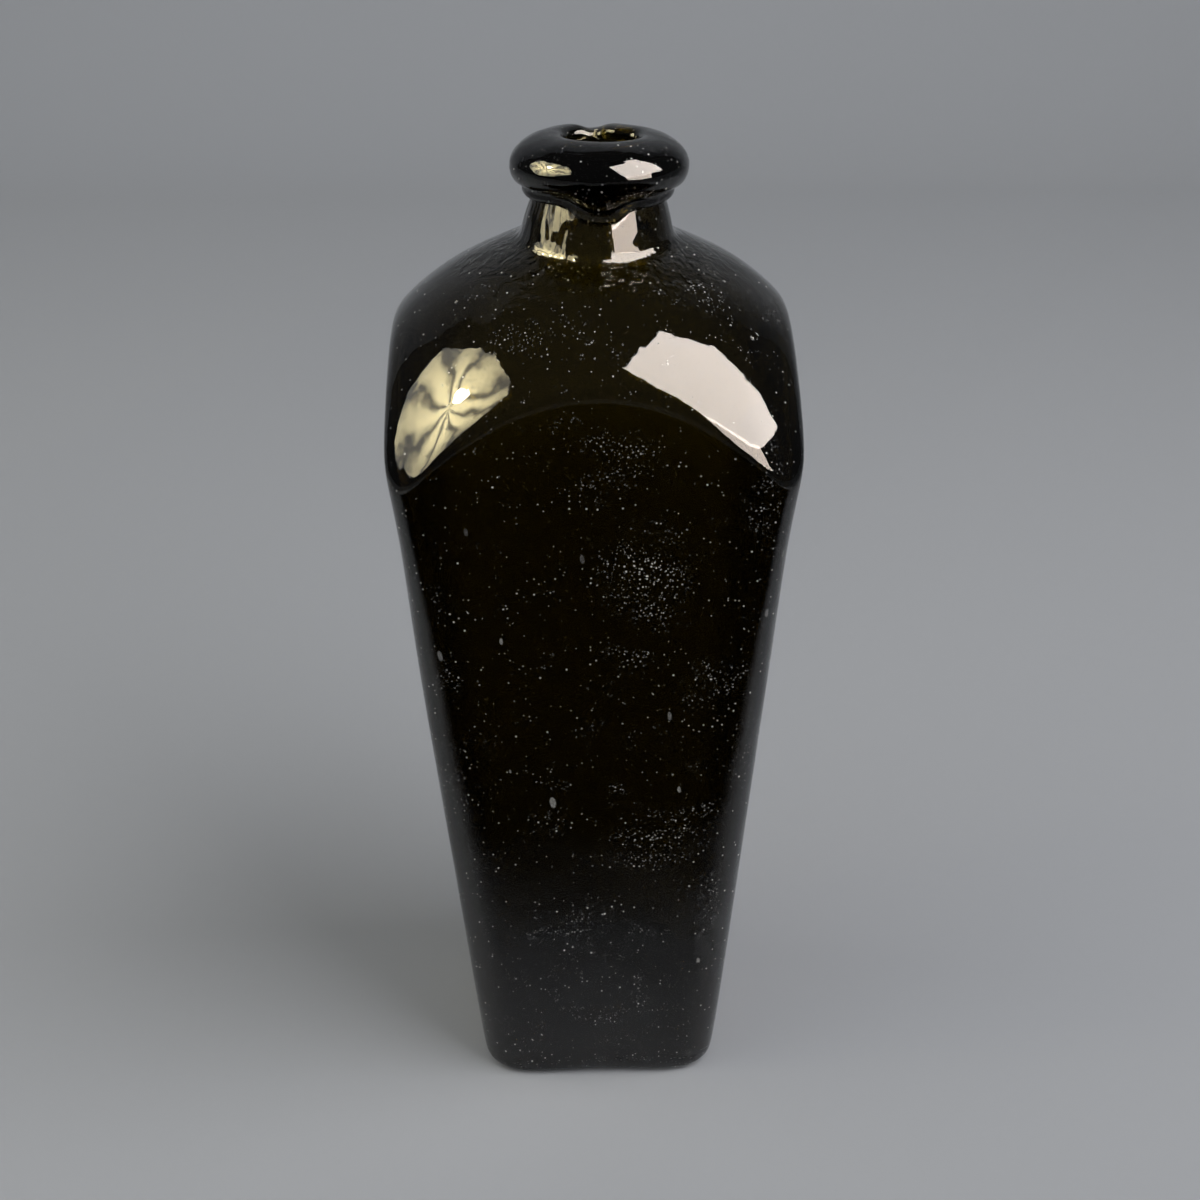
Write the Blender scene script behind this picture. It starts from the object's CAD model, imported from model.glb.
"""A hand-blown case gin bottle of near-black olive glass, on a pale floor in soft studio light.

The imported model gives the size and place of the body, the lip and the iron's ring. Each is
modelled again here as one smooth piece of glass, and stands for its node.
"""

import math

import bmesh
import bpy
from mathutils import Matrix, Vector


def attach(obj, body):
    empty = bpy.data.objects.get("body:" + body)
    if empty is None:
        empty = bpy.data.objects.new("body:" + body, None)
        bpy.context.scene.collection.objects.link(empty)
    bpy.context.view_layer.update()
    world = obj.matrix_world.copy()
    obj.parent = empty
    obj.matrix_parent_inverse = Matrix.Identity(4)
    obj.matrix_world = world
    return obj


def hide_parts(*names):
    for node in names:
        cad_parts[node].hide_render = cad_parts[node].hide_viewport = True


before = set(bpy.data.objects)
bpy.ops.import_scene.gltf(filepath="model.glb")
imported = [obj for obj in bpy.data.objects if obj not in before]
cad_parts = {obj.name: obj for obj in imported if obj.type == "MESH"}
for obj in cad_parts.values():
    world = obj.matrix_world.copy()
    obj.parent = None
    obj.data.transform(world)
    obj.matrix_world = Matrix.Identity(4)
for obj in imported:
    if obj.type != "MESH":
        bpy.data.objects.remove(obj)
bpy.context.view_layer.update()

MM = 0.001
FRONT, RIGHT, BACK, LEFT = (0, -1), (1, 0), (0, 1), (-1, 0)
SIDES = (FRONT, RIGHT, BACK, LEFT)

# Sizes of the bottle, in millimetres
FOOT_HALF_WIDTH = 32.3
SHOULDER_HALF_WIDTH = 48.9
SHOULDER_HEIGHT = 190
SWELL, SWELL_SPREAD = 1.6, 16
CORNER_RADIUS = 12
HEEL_RADIUS = 3.8
DOME_HEIGHT, DOME_RADIUS, DOME_RISE, DOME_POWER = 140, 71, 94.5, 2.5
MOUTH_HEIGHT = 257.2
FOOT_LEAN, FOOT_LEAN_END, MOUTH_LEAN = 1.4, 150, 2.4


def axis_x(height):
    """How far to the right the leaning bottle's axis stands at a height."""
    share = min(height / FOOT_LEAN_END, 1)
    at_foot = 1 - share * share * (3 - 2 * share)
    at_mouth = max(height - SHOULDER_HEIGHT, 0) / (MOUTH_HEIGHT - SHOULDER_HEIGHT)
    return FOOT_LEAN * at_foot + MOUTH_LEAN * at_mouth


def half_width(height):
    """Half the width of the moulded square at a height."""
    taper = (SHOULDER_HALF_WIDTH - FOOT_HALF_WIDTH) / SHOULDER_HEIGHT
    swell = SWELL * math.exp(-(((height - SHOULDER_HEIGHT) / SWELL_SPREAD) ** 2))
    return FOOT_HALF_WIDTH + taper * height + swell


def dome_radius(height):
    """Radius of the blown dome at a height."""
    along = max(height - DOME_HEIGHT, 0) / DOME_RISE
    return DOME_RADIUS * math.sqrt(max(1 - along**DOME_POWER, 0))


# Modelling by hand
def start(name, add, **settings):
    """Adds a primitive under a name and opens it for editing."""
    bpy.ops.object.select_all(action="DESELECT")
    add(**settings)
    obj = bpy.context.object
    obj.name = obj.data.name = name
    bpy.ops.object.transform_apply(location=True, rotation=True, scale=True)
    bpy.ops.object.mode_set(mode="EDIT")
    return obj


def pick(kind, test):
    """Selects the vertices, edges or faces that pass a test."""
    bpy.ops.mesh.select_mode(type={"verts": "VERT", "edges": "EDGE", "faces": "FACE"}[kind])
    bpy.ops.mesh.select_all(action="DESELECT")
    mesh = bmesh.from_edit_mesh(bpy.context.object.data)
    for item in getattr(mesh, kind):
        if test(item):
            item.select = True
    mesh.select_flush_mode()
    bmesh.update_edit_mesh(bpy.context.object.data)


def middle(item):
    """The middle of a face or an edge, in millimetres."""
    return sum((v.co for v in item.verts), Vector()) / len(item.verts) / MM


def near(value, wanted, reach=0.3):
    return abs(value - wanted) < reach


def move(x=0, y=0, z=0):
    bpy.ops.transform.translate(value=(x * MM, y * MM, z * MM))


def pull(reach, falloff, x=0, y=0, z=0):
    """Moves the selection, and what lies within a reach of it less and less."""
    bpy.ops.transform.translate(
        value=(x * MM, y * MM, z * MM),
        use_proportional_edit=True,
        proportional_edit_falloff=falloff,
        proportional_size=reach * MM,
    )


def scale(x, y, z, centre):
    bpy.ops.transform.resize(value=(x, y, z), center_override=Vector(centre) * MM)


def widen(by, height):
    """Scales the selection out from the axis."""
    scale(by, by, 1, (axis_x(height), 0, height))


def extrude_face(rise=0, sideways=0):
    """Extrudes the selected face."""
    by = (sideways * MM, 0, rise * MM)
    bpy.ops.mesh.extrude_region_move(TRANSFORM_OT_translate={"value": by})


def extrude_ring(rise=0, sideways=0, away=0):
    """Extrudes the selected edges."""
    by = (sideways * MM, away * MM, rise * MM)
    bpy.ops.mesh.extrude_edges_move(TRANSFORM_OT_translate={"value": by})


def climb(extrude, low, high, by):
    """Extrudes from one height to another along the leaning axis, and widens the new end."""
    extrude(high - low, axis_x(high) - axis_x(low))
    widen(by, high)


def round_over(radius, segments):
    """Rounds the selected edges."""
    bpy.ops.mesh.bevel(
        offset=radius * MM, offset_type="OFFSET", segments=segments, affect="EDGES"
    )


def finish_with(obj, name, kind, **settings):
    """Selects an object alone, adds a modifier to it and applies it."""
    modifier = obj.modifiers.new(name, kind)
    for key, value in settings.items():
        setattr(modifier, key, value)
    bpy.ops.object.select_all(action="DESELECT")
    obj.select_set(True)
    bpy.context.view_layer.objects.active = obj
    bpy.ops.object.modifier_apply(modifier=name)


def smooth(obj):
    """Closes the editing of a piece and makes its surface smooth."""
    bpy.ops.object.mode_set(mode="OBJECT")
    finish_with(obj, "smooth", "SUBSURF", levels=2, render_levels=2)
    bpy.ops.object.shade_smooth()


# The blown body
PANEL_HEIGHTS = (60, 105, 140, 164)
PANEL_ROWS = 5
ARCH_FOOT, ARCH_RISE, ARCH_REACH, ARCH_LEAN = 183, 27.5, 47.5, -0.6
ARCH_ROUND = 2.2
DOME_ROWS = 5
NECK_FOOT = 229.9
# Height and radius
NECK_PROFILE = (
    (231.1, 21.4), (232.1, 19.3), (233.8, 18.4), (236.4, 17.8), (240, 16.8),
    (244.4, 15.3), (250.5, 13.8), (254.4, 12.3), (255.4, 11.5),
)
NECK_POINT_LOW, NECK_POINT_MIDDLE, NECK_POINT_HIGH = 231, 238, 241
NECK_POINT_OUT, NECK_POINT_REACH = 1.3, 12
STAND_WIDTH = 2.4
PUSH_UP_RADIUS, PUSH_UP_HEIGHT = 22.5, 8
PUSH_UP_RINGS = (20, 17, 13.5, 10, 6.5, 3)
SIDE_ARCH, SIDE_ARCH_REACH = 1, 17
BASE_THICKNESS, WALL, DOME_WALL, DOME_WALL_FROM = 7, 4.4, 3.1, 200


def push_up(reach):
    """Height of the hollow under the base at a distance from the axis."""
    return PUSH_UP_HEIGHT / 2 * (1 + math.cos(math.pi * reach / PUSH_UP_RADIUS))


def round_ring(radius, height):
    """Makes the selected ring of points a circle of a radius about the axis."""
    at = Vector((axis_x(height), 0, height)) * MM
    bpy.ops.transform.tosphere(value=1, center_override=at)
    mesh = bmesh.from_edit_mesh(bpy.context.object.data)
    ring = [v.co - at for v in mesh.verts if v.select]
    now = sum(math.hypot(v.x, v.y) for v in ring) / len(ring) / MM
    scale(radius / now, radius / now, 0, (axis_x(height), 0, height))


def spin_dome(columns=160, rows=40):
    """The dome that the gather was blown to, as a guide that the body's rows are pulled onto."""
    guide = start(
        "dome_guide",
        bpy.ops.mesh.primitive_circle_add,
        vertices=columns,
        radius=DOME_RADIUS * MM,
        location=(axis_x(DOME_HEIGHT) * MM, 0, DOME_HEIGHT * MM),
    )
    shares = [math.sin(math.pi / 2 * row / rows) for row in range(rows)]
    heights = [DOME_HEIGHT + DOME_RISE * share for share in shares]
    bpy.ops.mesh.select_mode(type="EDGE")
    bpy.ops.mesh.select_all(action="SELECT")
    for low, high in zip(heights, heights[1:]):
        climb(extrude_ring, low, high, dome_radius(high) / dome_radius(low))
    bpy.ops.object.mode_set(mode="OBJECT")
    return guide


def mould_panels():
    """The mould's tapered square with round corners, open at the top, up to the arches' feet."""
    first = PANEL_HEIGHTS[0]
    width = 2 * FOOT_HALF_WIDTH * MM
    body = start(
        "bottle_body",
        bpy.ops.mesh.primitive_cube_add,
        size=1,
        location=(axis_x(0) * MM, 0, first / 2 * MM),
        scale=(width, width, first * MM),
    )
    pick("faces", lambda f: near(middle(f).z, first))
    move(x=axis_x(first) - axis_x(0))
    widen(half_width(first) / FOOT_HALF_WIDTH, first)
    for low, high in zip(PANEL_HEIGHTS, PANEL_HEIGHTS[1:] + (ARCH_FOOT,)):
        climb(extrude_face, low, high, half_width(high) / half_width(low))
    # The upright edges are rounded, and the top is opened
    pick("edges", lambda e: abs(e.verts[0].co.z - e.verts[1].co.z) > 5 * MM)
    round_over(CORNER_RADIUS, 4)
    pick("faces", lambda f: near(middle(f).z, ARCH_FOOT))
    bpy.ops.mesh.delete(type="ONLY_FACE")
    # The flat sides get upright rows of points
    pick(
        "edges",
        lambda e: near(e.verts[0].co.z, e.verts[1].co.z, 1e-6) and e.calc_length() > 30 * MM,
    )
    bpy.ops.mesh.subdivide_edgering(
        number_cuts=PANEL_ROWS, interpolation="LINEAR", smoothness=0
    )
    return body


def push_up_base():
    """The round heel, the ring that the bottle stands on, and the hollow inside it."""
    pick("edges", lambda e: all(near(v.co.z, 0, 1e-6) for v in e.verts))
    round_over(HEEL_RADIUS, 3)
    # The base is the only face with so many corners
    pick("faces", lambda f: len(f.verts) > 30)
    bpy.ops.mesh.inset(thickness=STAND_WIDTH * MM)
    bpy.ops.mesh.inset(thickness=STAND_WIDTH * MM)
    round_ring(PUSH_UP_RADIUS, 0)
    for outer, inner in zip((PUSH_UP_RADIUS,) + PUSH_UP_RINGS, PUSH_UP_RINGS):
        extrude_face(push_up(inner) - push_up(outer))
        widen(inner / outer, 0)
    bpy.ops.mesh.poke()
    # The sides stand a little off the table between the corners
    stand = FOOT_HALF_WIDTH - HEEL_RADIUS
    for x, y in SIDES:
        pick(
            "verts",
            lambda v: v.co.z < 0.1 * MM
            and near(v.co.x / MM, axis_x(0) + x * stand, 1)
            and near(v.co.y / MM, y * stand, 1),
        )
        pull(SIDE_ARCH_REACH, "SMOOTH", z=SIDE_ARCH)


def draw_arches():
    """Draws the tops of the panels up into arches."""
    for x, y in SIDES:
        pick(
            "verts",
            lambda v: near(v.co.z / MM, ARCH_FOOT, 3)
            and abs(v.co.x * y + v.co.y * x) < MM
            and v.co.x * x + v.co.y * y > 0,
        )
        pull(ARCH_REACH, "INVERSE_SQUARE", x=x * ARCH_LEAN, y=y * ARCH_LEAN, z=ARCH_RISE)


def keep_out_of(*groups):
    """Takes the selected points out of the body's vertex groups."""
    for group in groups:
        bpy.ops.object.vertex_group_set_active(group=group)
        bpy.ops.object.vertex_group_remove_from()


def raise_dome(body):
    """Rows of points up the dome, flatter and rounder towards the neck, from the arches' edge."""
    pick("edges", lambda e: e.is_boundary)
    body.vertex_groups.new(name="arch")
    bpy.ops.object.vertex_group_assign()
    body.vertex_groups.new(name="dome")
    top = ARCH_FOOT + ARCH_RISE
    for left in range(DOME_ROWS, 0, -1):
        low = NECK_FOOT - (NECK_FOOT - top) * left / DOME_ROWS
        high = NECK_FOOT - (NECK_FOOT - top) * (left - 1) / DOME_ROWS
        wide = dome_radius(high) / dome_radius(low)
        extrude_ring()
        scale(wide, wide, (left - 1) / left, (axis_x(NECK_FOOT), 0, NECK_FOOT))
        move(x=(axis_x(NECK_FOOT) - axis_x(top)) / DOME_ROWS)
        if left > 1:
            bpy.ops.object.vertex_group_assign()
            keep_out_of("arch")
            bpy.ops.object.vertex_group_set_active(group="dome")
    keep_out_of("arch", "dome")
    bpy.ops.mesh.select_mode(type="EDGE")
    round_ring(dome_radius(NECK_FOOT), NECK_FOOT)


def draw_neck():
    """The neck and the mouth, up from the dome's last ring."""
    low, wide = NECK_FOOT, dome_radius(NECK_FOOT)
    for high, radius in NECK_PROFILE:
        climb(extrude_ring, low, high, radius / wide)
        low, wide = high, radius
    # The tool left the front of the neck a little pointed
    pick(
        "verts",
        lambda v: NECK_POINT_LOW < v.co.z / MM < NECK_POINT_HIGH
        and v.co.y < 0
        and near(v.co.x / MM, axis_x(NECK_POINT_MIDDLE), 1.2),
    )
    pull(NECK_POINT_REACH, "LINEAR", y=-NECK_POINT_OUT)


def round_arches():
    """Rounds the arches' edges over, where the sagging glass bent on the mould's rim."""
    bpy.ops.mesh.select_mode(type="VERT")
    bpy.ops.mesh.select_all(action="DESELECT")
    bpy.ops.object.vertex_group_set_active(group="arch")
    bpy.ops.object.vertex_group_select()
    bpy.ops.mesh.select_mode(type="EDGE")
    round_over(ARCH_ROUND, 2)


def blow_body():
    """The square body with arched panels, its dome, neck and mouth, as one skin with a wall."""
    guide = spin_dome()
    body = mould_panels()
    push_up_base()
    draw_arches()
    raise_dome(body)
    draw_neck()
    round_arches()
    bpy.ops.mesh.select_all(action="SELECT")
    bpy.ops.mesh.normals_make_consistent(inside=False)
    # Blown glass is thinner over the dome than where the mould chilled it
    body.vertex_groups.new(name="thick")
    bpy.ops.object.vertex_group_assign()
    pick("verts", lambda v: v.co.z > DOME_WALL_FROM * MM)
    bpy.context.scene.tool_settings.vertex_group_weight = DOME_WALL / WALL
    bpy.ops.object.vertex_group_assign()
    bpy.ops.object.mode_set(mode="OBJECT")
    finish_with(
        body,
        "onto_dome",
        "SHRINKWRAP",
        target=guide,
        wrap_method="NEAREST_SURFACEPOINT",
        vertex_group="dome",
    )
    bpy.data.objects.remove(guide)
    body.vertex_groups.new(name="inside")
    finish_with(
        body,
        "wall",
        "SOLIDIFY",
        thickness=WALL * MM,
        offset=-1,
        use_quality_normals=True,
        vertex_group="thick",
        shell_vertex_group="inside",
    )
    # The floor of the inside is thicker than the walls
    bpy.ops.object.mode_set(mode="EDIT")
    pick("faces", lambda f: f.normal.z > 0.5 and WALL < middle(f).z < 2 * BASE_THICKNESS)
    move(z=BASE_THICKNESS - WALL)
    smooth(body)
    # Dust and wear belong to the outside alone, so each point says how far outside it is
    inside = body.vertex_groups["inside"]
    outside = body.data.attributes.new("outside", "FLOAT", "POINT")
    for vertex, value in zip(body.data.vertices, outside.data):
        value.value = 1 - sum(g.weight for g in vertex.groups if g.group == inside.index)
    return body


# The laid-on lip, from its fold up over the top and into the mouth: radius and height
LIP_PROFILE = (
    (15.6, 244.4), (16.3, 243.1), (17.5, 242.9), (18.3, 243.8), (18.0, 245.0), (17.9, 245.6),
    (19.6, 245.6), (20.9, 247.2), (21.4, 249.4), (21.0, 251.8), (19.3, 254.0), (16.9, 255.7),
    (14.2, 256.7), (11.4, 257.0), (9.6, 256.6), (8.5, 255.4), (8.5, 253.8), (9.6, 252.4),
    (12.8, 249.0),
)
LIP_COLUMNS = 48
LIP_CREASE, LIP_MIDDLE, LIP_HALF_WIDTH = 245.3, 250, 21
FRONT_TILT, RIGHT_TILT = 1.5, 0.3
# What the tool left uneven: angle, radius, height, reach, move outwards and up, and falloff
LIP_DENTS = {
    "drip": (0, 17.2, 243, 6.8, 1.6, -2.7, "SPHERE"),
    "tucked_fold": (-0.62, 17.2, 243, 6, 0, 0.8, "SMOOTH"),
    "notch": (3.27, 15.5, 257, 6, 0, -1.5, "SMOOTH"),
    "notch_at_the_mouth": (3.27, 10.5, 257, 4, 0, -1, "SMOOTH"),
    "hump_into_the_mouth": (2.62, 10, 257, 6.5, -3.2, 0.5, "SMOOTH"),
}


def about(angle, radius, height):
    """A place on a circle about the axis. Angle 0 is the front, and it grows to the right."""
    x = axis_x(height) + radius * math.sin(angle)
    return Vector((x, -radius * math.cos(angle), height))


def nudge(angle, radius, height, reach, out, rise, falloff):
    """Moves the point nearest to a place, and what lies round it less and less."""
    place = about(angle, radius, height)
    mesh = bmesh.from_edit_mesh(bpy.context.object.data)
    nearest = min(mesh.verts, key=lambda v: (v.co / MM - place).length)
    pick("verts", lambda v: v.index == nearest.index)
    pull(reach, falloff, x=out * math.sin(angle), y=-out * math.cos(angle), z=rise)


def tilt(rise, axis):
    """Turns the selection about the lip's middle, until its edge has risen by some millimetres."""
    bpy.ops.transform.rotate(
        value=rise / LIP_HALF_WIDTH,
        orient_axis=axis,
        center_override=about(0, 0, LIP_MIDDLE) * MM,
    )


def lay_lip():
    """The ring of glass laid round the end of the neck, with the fold and the drip under it."""
    (wide, low), *rest = LIP_PROFILE
    lip = start(
        "bottle_lip",
        bpy.ops.mesh.primitive_circle_add,
        vertices=LIP_COLUMNS,
        radius=wide * MM,
        location=about(0, 0, low) * MM,
    )
    bpy.ops.mesh.select_mode(type="EDGE")
    bpy.ops.mesh.select_all(action="SELECT")
    for radius, high in rest:
        climb(extrude_ring, low, high, radius / wide)
        wide, low = radius, high
    pick("edges", lambda e: e.is_boundary)
    bpy.ops.mesh.bridge_edge_loops()
    bpy.ops.mesh.select_all(action="SELECT")
    bpy.ops.mesh.normals_make_consistent(inside=False)
    # The ring tilts up to the front, and with its fold down to the right
    pick("verts", lambda v: v.co.z > LIP_CREASE * MM)
    tilt(FRONT_TILT, "X")
    bpy.ops.mesh.select_all(action="SELECT")
    tilt(-RIGHT_TILT, "Y")
    for dent in LIP_DENTS.values():
        nudge(*dent)
    smooth(lip)
    return lip


# The iron's ring of glass
SCAR_RADIUS, SCAR_THICKNESS, SCAR_FLATNESS = 11, 2.3, 0.75
SCAR_SINK, SCAR_DEPTH = 0.1, 1.8
# Where it broke unevenly: angle, reach and rise
SCAR_BREAKS = ((0.4, 5, -0.7), (1.9, 4, 0.6), (2.8, 4, -0.5), (4.1, 5, 0.7), (5.3, 4, -0.6))


def leave_scar():
    """The broken ring of glass that the iron left in the push-up."""
    ceiling = push_up(SCAR_RADIUS)
    scar = start(
        "iron_scar",
        bpy.ops.mesh.primitive_torus_add,
        major_radius=SCAR_RADIUS * MM,
        minor_radius=SCAR_THICKNESS * MM,
        major_segments=36,
        minor_segments=10,
        location=about(0, 0, ceiling - SCAR_SINK) * MM,
    )
    bpy.ops.mesh.select_all(action="SELECT")
    scale(1, 1, SCAR_FLATNESS, about(0, 0, ceiling))
    for angle, reach, rise in SCAR_BREAKS:
        nudge(angle, SCAR_RADIUS, ceiling - SCAR_DEPTH, reach, 0, rise, "SHARP")
    smooth(scar)
    return scar


body = blow_body()
lip = lay_lip()
scar = leave_scar()
for piece, stands_for, finish in (
    (body, "blown_body", "dark_olive_glass"),
    (lip, "laid_on_lip", "lip_glass"),
    (scar, "iron_scar_ring", "scar_glass"),
):
    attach(piece, "root")
    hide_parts(stands_for)


# Materials. Patterns are placed and sized in millimetres
GLASS_COLOUR, DUST_COLOUR, SEED_COLOUR = "#b9af08", "#cfcbbd", "#a89f45"
BODY_DENSITY, LIP_DENSITY, SCAR_DENSITY = 980, 950, 850
FIRE_POLISH, BROKEN, DUSTY = 0.03, 0.25, 0.6


def linear(hex_code):
    """A colour written as sRGB hex, as the linear values that a shader takes."""
    parts = [int(hex_code[i : i + 2], 16) / 255 for i in (1, 3, 5)]
    return tuple(p / 12.92 if p <= 0.04045 else ((p + 0.055) / 1.055) ** 2.4 for p in parts) + (1,)


def node(tree, kind, inputs=None, **settings):
    """Adds a node. An input, by its name or number, gets a value or another node's output."""
    made = tree.nodes.new(kind)
    for name, value in settings.items():
        setattr(made, name, value)
    for name, value in (inputs or {}).items():
        if isinstance(value, tuple) and isinstance(value[0], bpy.types.Node):
            tree.links.new(value[0].outputs[value[1]], made.inputs[name])
        else:
            made.inputs[name].default_value = value
    return made


def maths(tree, operation, *values):
    """Joins several values, two at a time, by one operation."""
    total, *rest = values
    for value in rest:
        total = (node(tree, "ShaderNodeMath", {0: total, 1: value}, operation=operation), 0)
    return total


def times(tree, *values):
    return maths(tree, "MULTIPLY", *values)


def line(tree, value, slope, start_value):
    """A value times a slope, plus a value to start from."""
    inputs = {0: value, 1: slope, 2: start_value}
    return (node(tree, "ShaderNodeMath", inputs, operation="MULTIPLY_ADD"), 0)


def ramp(tree, value, low, high, to=(0, 1)):
    """Goes smoothly from one value to another as a value passes from low to high."""
    limits = {"Value": value, "From Min": low, "From Max": high, "To Min": to[0], "To Max": to[1]}
    return (node(tree, "ShaderNodeMapRange", limits, interpolation_type="SMOOTHSTEP"), 0)


def vector(tree, operation, *values, output=0):
    inputs = dict(enumerate(values))
    return (node(tree, "ShaderNodeVectorMath", inputs, operation=operation), output)


def stretched(tree, place, scales, turn=(0, 0, 0)):
    """The place, turned by degrees and then scaled."""
    angles = tuple(math.radians(a) for a in turn)
    turned = node(tree, "ShaderNodeMapping", {"Vector": place, "Rotation": angles})
    return (node(tree, "ShaderNodeMapping", {"Vector": (turned, 0), "Scale": scales}), 0)


def noise(tree, place, size, detail, distortion=0.0):
    """Cloudy noise with lumps of a size, from 0 to 1."""
    settings = {"Vector": place, "Scale": 1 / size, "Detail": detail, "Distortion": distortion}
    return (node(tree, "ShaderNodeTexNoise", settings), 0)


def specks(tree, place, spacing, radius, share=1.0, soft=0.4):
    """Scattered specks, few of them big: 1 on a bright speck, less on a faint one, and 0 off it."""
    cells = node(tree, "ShaderNodeTexVoronoi", {"Vector": place, "Scale": 1 / spacing})
    chance = node(tree, "ShaderNodeSeparateColor", {"Color": (cells, "Color")})
    big = maths(tree, "POWER", (chance, "Green"), 3.0)
    size = line(tree, big, 0.65 * radius / spacing, 0.35 * radius / spacing)
    nearness = maths(tree, "DIVIDE", (cells, "Distance"), size)
    on = ramp(tree, nearness, 1 + soft, 1 - soft)
    kept = maths(tree, "LESS_THAN", (chance, "Red"), share)
    faint = ramp(tree, (chance, "Blue"), 0.0, 0.9, (0.1, 0.9))
    return times(tree, on, kept, faint)


def patch(tree, place, centre, radius, squeeze):
    """A soft place on the glass, smaller along an axis by its squeeze: 1 inside and 0 outside."""
    away = vector(tree, "SUBTRACT", place, centre)
    shaped = vector(tree, "MULTIPLY", away, squeeze)
    far = vector(tree, "LENGTH", shaped, output="Value")
    return ramp(tree, far, radius, 0.2 * radius)


def glass(name, density, roughness):
    """Clear glass with a colour in its depth: material, tree, shader and place in millimetres."""
    material = bpy.data.materials.new(name)
    material.use_nodes = True
    tree = material.node_tree
    tree.nodes.clear()
    look = {"IOR": 1.52, "Roughness": roughness, "Transmission Weight": 1}
    shader = node(tree, "ShaderNodeBsdfPrincipled", look)
    # Iron in it swallows blue first and green next, so a thin part is olive and a thick one black
    colour = {"Color": linear(GLASS_COLOUR), "Density": density}
    depth = node(tree, "ShaderNodeVolumeAbsorption", colour)
    node(tree, "ShaderNodeOutputMaterial", {"Surface": (shader, 0), "Volume": (depth, 0)})
    coordinates = node(tree, "ShaderNodeTexCoord")
    in_mm = {"Vector": (coordinates, "Object"), "Scale": (1000, 1000, 1000)}
    return material, tree, shader, (node(tree, "ShaderNodeMapping", in_mm), 0)


def cover(tree, shader, dirt, relief, clean_roughness, film=linear(DUST_COLOUR)):
    """Puts a matt film on the glass where dirt is 1, and relief in millimetres on all of it."""
    tint = {"Factor": dirt, "A": (1, 1, 1, 1), "B": film}
    colour = node(tree, "ShaderNodeMix", tint, data_type="RGBA")
    bump = node(tree, "ShaderNodeBump", {"Height": relief, "Distance": MM, "Strength": 1})
    for socket, value in (
        ("Base Color", (colour, 2)),
        ("Transmission Weight", maths(tree, "SUBTRACT", 1.0, dirt)),
        ("Roughness", line(tree, dirt, DUSTY, clean_roughness)),
        ("Normal", (bump, 0)),
    ):
        tree.links.new(value[0].outputs[value[1]], shader.inputs[socket])


# Scuffed places on the body: centre, radius, squeeze along each axis, and strength
SCUFFED = {
    "front": ((12, -45, 163), 17, (1.35, 1, 0.92), 1.0),
    "low_on_the_front": ((16, -40, 84), 15, (0.9, 1, 1.2), 0.6),
    "back": ((-14, 44, 150), 22, (1, 1, 0.7), 0.7),
    "right": ((46, 8, 170), 16, (1, 1, 1), 0.6),
}


def body_glass():
    """Old hand-blown glass, near black to the eye and mirror bright where it is clean.

    Over that it shows settled dust, lint, open seeds, scuffs of fine white pits, slow waves from
    the mould, upright streaks on the neck and wrinkles at the neck's foot.
    """
    material, tree, shader, place = glass("olive_black_bottle_glass", BODY_DENSITY, FIRE_POLISH)
    height = node(tree, "ShaderNodeSeparateXYZ", {0: place})
    up = (height, "Z")
    wander = (node(tree, "ShaderNodeTexNoise", {"Vector": place, "Scale": 1.6, "Detail": 2}), "Color")
    ragged = vector(tree, "MULTIPLY_ADD", wander, (0.45, 0.45, 0.45), place)
    rough_edged = vector(tree, "MULTIPLY_ADD", wander, (0.16, 0.16, 0.16), place)
    dust = specks(tree, rough_edged, spacing=1.25, radius=0.25, share=0.6)
    less_on_shoulder = ramp(tree, up, 150, 205, (0.85, 0.6))
    threads = stretched(tree, ragged, (1, 0.6, 0.16), (20, 35, 15))
    lint = specks(tree, threads, spacing=1.9, radius=0.12, share=0.5)
    upright = stretched(tree, place, (1, 1, 0.42), (4, 7, 0))
    seeds = specks(tree, upright, spacing=5.2, radius=0.95, share=0.4, soft=0.12)
    clouds = noise(tree, place, 14, 3)
    # Rubbed most in some places and on the edge that the bottle stands on, and a little in clouds
    rubbed = maths(
        tree,
        "MAXIMUM",
        *(times(tree, patch(tree, place, *where), strength) for *where, strength in SCUFFED.values()),
        ramp(tree, up, 2, 0.3, (0, 0.8)),
        ramp(tree, clouds, 0.54, 0.7, (0, 0.5)),
    )
    pits = specks(tree, rough_edged, spacing=0.72, radius=0.27)
    dirt = maths(
        tree,
        "MAXIMUM",
        times(tree, dust, less_on_shoulder),
        times(tree, lint, 0.6),
        times(tree, seeds, 0.3),
        times(tree, pits, ramp(tree, clouds, 0.3, 0.55), rubbed),
    )
    outside = node(tree, "ShaderNodeAttribute", attribute_name="outside")
    neck = ramp(tree, up, 228, 235)
    foot_of_neck = times(tree, ramp(tree, up, 223, 227), ramp(tree, up, 235, 231))
    folds = maths(tree, "SUBTRACT", noise(tree, place, 5, 1, 1.0), 0.5)
    wrinkles = maths(tree, "ABSOLUTE", folds, 0)
    streaks = noise(tree, stretched(tree, place, (1, 1, 0.05)), 3, 1)
    fewer_to_the_right = ramp(tree, (height, "X"), -3, 5, (0.5, 0.12))
    relief = maths(
        tree,
        "ADD",
        times(tree, noise(tree, place, 28, 1), 0.7),
        times(tree, noise(tree, stretched(tree, place, (1, 1, 0.7)), 6, 2), 0.08),
        times(tree, streaks, neck, fewer_to_the_right),
        times(tree, wrinkles, foot_of_neck, -0.45),
        times(tree, seeds, -0.05),
    )
    # The film is dust grey, and yellower in the seeds, where old dirt has stayed
    films = {"Factor": seeds, "A": linear(DUST_COLOUR), "B": linear(SEED_COLOUR)}
    film = node(tree, "ShaderNodeMix", films, data_type="RGBA")
    cover(tree, shader, times(tree, dirt, (outside, "Fac")), relief, FIRE_POLISH, (film, 2))
    return material


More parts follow.
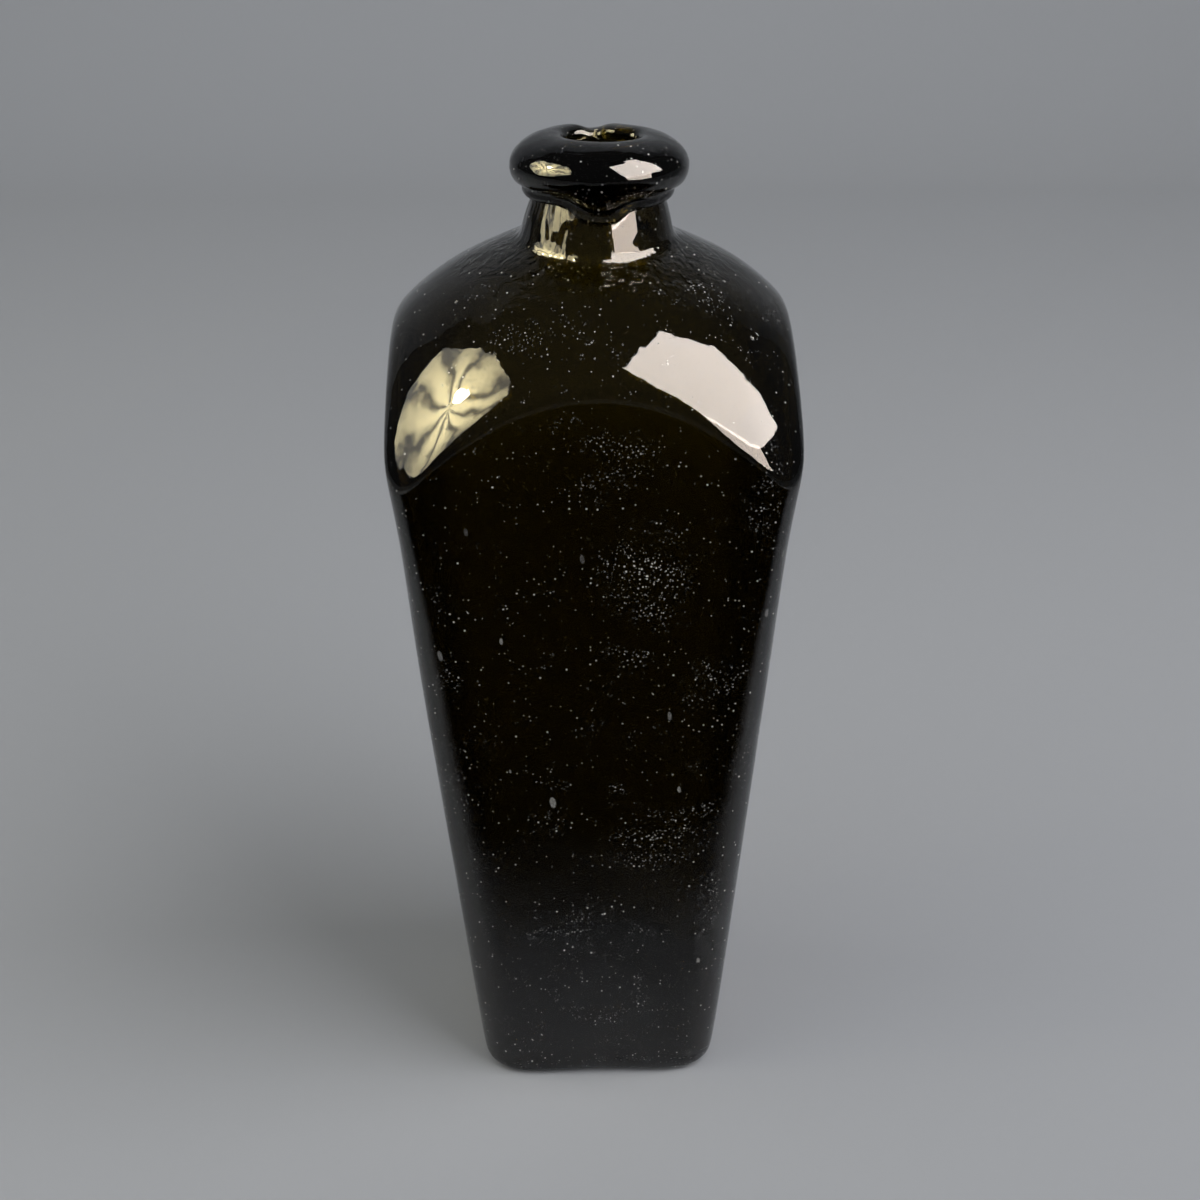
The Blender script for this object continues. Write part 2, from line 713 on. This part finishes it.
def lip_glass():
    """The same glass, wound on hot and turned in a tool: bright, black, with fine lines round it."""
    material, tree, shader, place = glass("laid_on_lip_glass", LIP_DENSITY, FIRE_POLISH)
    # The lines run round the lip's own axis, a little to the right of the bottle's middle
    centred = vector(tree, "SUBTRACT", place, (2.3, 0, 0))
    parts = node(tree, "ShaderNodeSeparateXYZ", {0: centred})
    level = node(tree, "ShaderNodeCombineXYZ", {"X": (parts, "X"), "Y": (parts, "Y")})
    radius = vector(tree, "LENGTH", (level, 0), output="Value")
    wander = times(tree, noise(tree, place, 9, 1), 5)
    rings = {"X": radius, "Y": (parts, "Z"), "Z": wander}
    tooled = noise(tree, (node(tree, "ShaderNodeCombineXYZ", rings), 0), 1.3, 1)
    lumps = times(tree, noise(tree, place, 9, 1), 0.5)
    relief = maths(tree, "ADD", lumps, times(tree, tooled, 0.06))
    dust = specks(tree, place, spacing=1.4, radius=0.26, share=0.6)
    cover(tree, shader, dust, relief, FIRE_POLISH)
    return material


def scar_glass():
    """Glass broken from an iron: matt, sharp and crumbled, and paler for it."""
    material, tree, shader, place = glass("iron_scar_glass", SCAR_DENSITY, BROKEN)
    crumbs = specks(tree, place, spacing=0.9, radius=0.4)
    lumps = times(tree, noise(tree, place, 1.5, 4), 0.5)
    relief = maths(tree, "ADD", lumps, times(tree, crumbs, 0.1))
    cover(tree, shader, times(tree, crumbs, 0.2), relief, BROKEN)
    return material


for piece, stands_for, material in (
    (body, "blown_body", body_glass()),
    (lip, "laid_on_lip", lip_glass()),
    (scar, "iron_scar_ring", scar_glass()),
):
    piece.data.materials.append(material)
    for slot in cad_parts[stands_for].material_slots:
        slot.material = material


# The stage, in millimetres where it is modelled and in metres where it is placed
PAPER_SIZE = 14
SWEEP_FROM, SWEEP_HALF_WIDTH, SWEEP_BEND, SWEEP_STEPS, SWEEP_RISE = 800, 1600, 350, 24, 1900


def in_strip(item):
    """Whether a face or an edge lies between the sides of the strip that sweeps up."""
    return abs(middle(item).x) < SWEEP_HALF_WIDTH


def roll_out_paper():
    """A wide floor of pale matt paper, with a strip of it that sweeps up behind the bottle."""
    paper = start("studio_paper", bpy.ops.mesh.primitive_plane_add, size=PAPER_SIZE)
    material = bpy.data.materials.new("pale_studio_paper")
    material.use_nodes = True
    shader = material.node_tree.nodes["Principled BSDF"]
    shader.inputs["Base Color"].default_value = linear("#90949a")
    shader.inputs["Roughness"].default_value = 0.9
    paper.data.materials.append(material)
    back, side = SWEEP_FROM * MM, SWEEP_HALF_WIDTH * MM
    for at, across in (((0, back, 0), BACK), ((-side, 0, 0), RIGHT), ((side, 0, 0), RIGHT)):
        bpy.ops.mesh.select_all(action="SELECT")
        bpy.ops.mesh.bisect(plane_co=at, plane_no=across + (0,))
    pick("faces", lambda f: in_strip(f) and middle(f).y > SWEEP_FROM)
    bpy.ops.mesh.delete(type="FACE")
    pick("edges", lambda e: in_strip(e) and near(middle(e).y, SWEEP_FROM, 1))
    for step in range(SWEEP_STEPS):
        low, high = (math.pi / 2 * k / SWEEP_STEPS for k in (step, step + 1))
        away, up = math.sin(high) - math.sin(low), math.cos(low) - math.cos(high)
        extrude_ring(SWEEP_BEND * up, away=SWEEP_BEND * away)
    extrude_ring(SWEEP_RISE)
    bpy.ops.object.mode_set(mode="OBJECT")
    bpy.ops.object.shade_smooth()


def lay_card():
    """A black card on the floor in front, seen only in the glass, that keeps glare off the front."""
    card = start(
        "black_card",
        bpy.ops.mesh.primitive_plane_add,
        size=1,
        location=(0, -0.54, MM),
        scale=(1.1, 1, 1),
    )
    bpy.ops.object.mode_set(mode="OBJECT")
    material = bpy.data.materials.new("black_velvet_card")
    material.use_nodes = True
    tree = material.node_tree
    tree.nodes.clear()
    coordinates = node(tree, "ShaderNodeTexCoord")
    place = node(tree, "ShaderNodeSeparateXYZ", {0: (coordinates, "Object")})
    velvet = node(tree, "ShaderNodeBsdfDiffuse", {"Color": linear("#0a0a0a")})
    clear = node(tree, "ShaderNodeBsdfTransparent")
    # Its near edge is soft, so that the paper's reflection fades out up the panel
    fade = ramp(tree, (place, "Y"), -0.04, -0.13)
    soft = node(tree, "ShaderNodeMixShader", {0: fade, 1: (clear, 0), 2: (velvet, 0)})
    node(tree, "ShaderNodeOutputMaterial", {"Surface": (soft, 0)})
    card.data.materials.append(material)
    card.visible_camera = card.visible_diffuse = False
    card.visible_transmission = card.visible_shadow = False


roll_out_paper()
lay_card()


# Lamps, in metres. The second of a pair stands behind the first, and lights nothing matt
SHOULDER = Vector((0, 0, 0.2))
WINDOW_WIDTH, WINDOW_HEIGHT, WINDOW_MIDDLE = 1.06, 1.64, 1.28
UMBRELLA_WIDTH, UMBRELLA_HEIGHT = 1.05, 0.78
PANE_WIDTH, PANE_HEIGHT, PANE_MIDDLE = 0.52, 0.18, 0.37


def from_shoulder(azimuth, elevation, distance):
    """A place in a direction from the shoulder. Azimuth 0 is the front, and grows to the right."""
    turn, lift = math.radians(azimuth), math.radians(elevation)
    level = math.cos(lift)
    away = Vector((math.sin(turn) * level, -math.cos(turn) * level, math.sin(lift)))
    return SHOULDER + away * distance


def hang(name, light, origin):
    """Puts a light in the scene, and turns it so that it shines from a direction."""
    obj = bpy.data.objects.new(name, light)
    bpy.context.scene.collection.objects.link(obj)
    obj.rotation_euler = origin.to_track_quat("Z", "Y").to_euler()
    return obj


def soft_lamp(name, place, aim, size, radiance, hex_code, shape="RECTANGLE", shine=False):
    """A lamp with a shining face. Its radiance is the brightness of that face in a mirror."""
    light = bpy.data.lights.new(name, "AREA")
    light.shape = shape
    light.size, light.size_y = size
    area = size[0] * size[1] * (math.pi / 4 if shape == "ELLIPSE" else 1)
    light.energy = radiance * math.pi * area
    light.color = linear(hex_code)[:3]
    obj = hang(name, light, Vector(place) - Vector(aim))
    obj.location = place
    obj.visible_camera = False
    obj.visible_diffuse = not shine


def distant_lamp(name, azimuth, elevation, strength, angle, hex_code):
    """A lamp so far away that it lights the whole stage alike."""
    light = bpy.data.lights.new(name, "SUN")
    light.energy, light.angle, light.color = strength, math.radians(angle), linear(hex_code)[:3]
    return hang(name, light, from_shoulder(azimuth, elevation, 1) - SHOULDER)


window = from_shoulder(62, 0, 0.75)
umbrella = from_shoulder(-80, 31, 0.9)
for name, farther, window_radiance, umbrella_radiance, window_colour, umbrella_colour in (
    ("", 1, 4.0, 1.15, "#ffffff", "#ffffff"),
    ("_shine", 1.01, 10.8, 11.7, "#ffeee0", "#ffeeb4"),
):
    shine = name == "_shine"
    soft_lamp(
        "window" + name,
        (window.x * farther, window.y * farther, WINDOW_MIDDLE),
        (0, 0, WINDOW_MIDDLE - 0.1),
        (WINDOW_WIDTH, WINDOW_HEIGHT),
        window_radiance,
        window_colour,
        shine=shine,
    )
    soft_lamp(
        "umbrella" + name,
        umbrella * farther,
        SHOULDER,
        (UMBRELLA_WIDTH, UMBRELLA_HEIGHT),
        umbrella_radiance,
        umbrella_colour,
        "ELLIPSE",
        shine,
    )

# The window's lowest pane, which the upright neck shows
pane = from_shoulder(49, 0, 0.757)
soft_lamp(
    "low_pane_shine",
    (pane.x, pane.y, PANE_MIDDLE),
    (0, 0, PANE_MIDDLE),
    (PANE_WIDTH, PANE_HEIGHT),
    12,
    "#ffeee0",
    shine=True,
)
# The umbrella's bare lamp is a hard bright core in the glass
distant_lamp("bare_lamp", -80, 41, 1.0, 7, "#fff3cc").visible_diffuse = False
# The ceiling's light fills the whole stage, and isn't seen in the glass
distant_lamp("ceiling", -40, 55, 0.9, 80, "#ffffff").visible_glossy = False

# In the glass, the umbrella's creased cloth has dark ribs that run out from near its middle
ribbed = bpy.data.lights["umbrella_shine"]
ribbed.use_nodes = True
cloth = ribbed.node_tree
face = (node(cloth, "ShaderNodeNewGeometry"), "Parametric")
from_hub = vector(cloth, "SUBTRACT", face, (0.53, 0.56, 0))
sides = node(cloth, "ShaderNodeSeparateXYZ", {0: from_hub})
angle_about_hub = maths(cloth, "ARCTAN2", (sides, "Y"), (sides, "X"))
creases = (node(cloth, "ShaderNodeTexNoise", {"Vector": face, "Scale": 7, "Detail": 3}), 0)
turned = maths(cloth, "ADD", times(cloth, angle_about_hub, 4), times(cloth, creases, 3))
gores = maths(cloth, "ABSOLUTE", maths(cloth, "SINE", turned, 0), 0)
far = vector(cloth, "LENGTH", from_hub, output="Value")
dimmer_outwards = ramp(cloth, far, 0.5, 0.08, (0.4, 1.25))
strength = times(cloth, ramp(cloth, gores, 0.0, 1.0, (0.1, 1.3)), dimmer_outwards)
emission = next(n for n in cloth.nodes if n.type == "EMISSION")
cloth.links.new(strength[0].outputs[0], emission.inputs["Strength"])

# A dim grey room
world = bpy.data.worlds.new("studio")
bpy.context.scene.world = world
world.use_nodes = True
background = world.node_tree.nodes["Background"]
background.inputs["Color"].default_value = (0.05, 0.05, 0.05, 1)
background.inputs["Strength"].default_value = 1

# The camera, as fitted to the outline of the bottle in the photograph
camera = bpy.data.cameras.new("camera")
camera.lens, camera.sensor_width = 60, 36
camera_object = bpy.data.objects.new("camera", camera)
bpy.context.scene.collection.objects.link(camera_object)
camera_object.location = (-0.01059, -0.46134, 0.3818)
camera_object.rotation_euler = (math.radians(90 - 28.29), 0, math.radians(-1.6))
bpy.context.scene.camera = camera_object
bpy.context.scene.view_settings.view_transform = "Standard"
